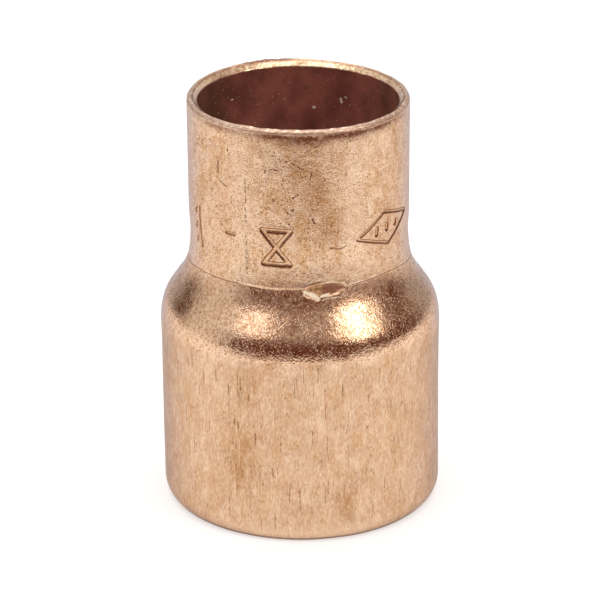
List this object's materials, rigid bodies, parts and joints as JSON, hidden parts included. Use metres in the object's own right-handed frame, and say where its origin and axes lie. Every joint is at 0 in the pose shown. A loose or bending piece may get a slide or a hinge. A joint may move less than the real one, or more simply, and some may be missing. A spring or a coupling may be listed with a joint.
{
  "type": "concentric reducer",
  "caption": "Copper pipe reducer with a soldering socket at each end, joined by a smooth rounded shoulder on one common axis.",
  "frame": {"origin": "centre of the large end's face, which the fitting stands on", "axes": "+Z along the fitting's axis, towards the small end; X and Y are free, because the fitting is round"},
  "size_m": [0.0306, 0.0306, 0.0462],
  "materials": {
    "copper": "satin drawn copper, lightly tarnished, dark oxide inside"
  },
  "bodies": {
    "root": {"reducer_body": "copper"}
  },
  "joints": []
}
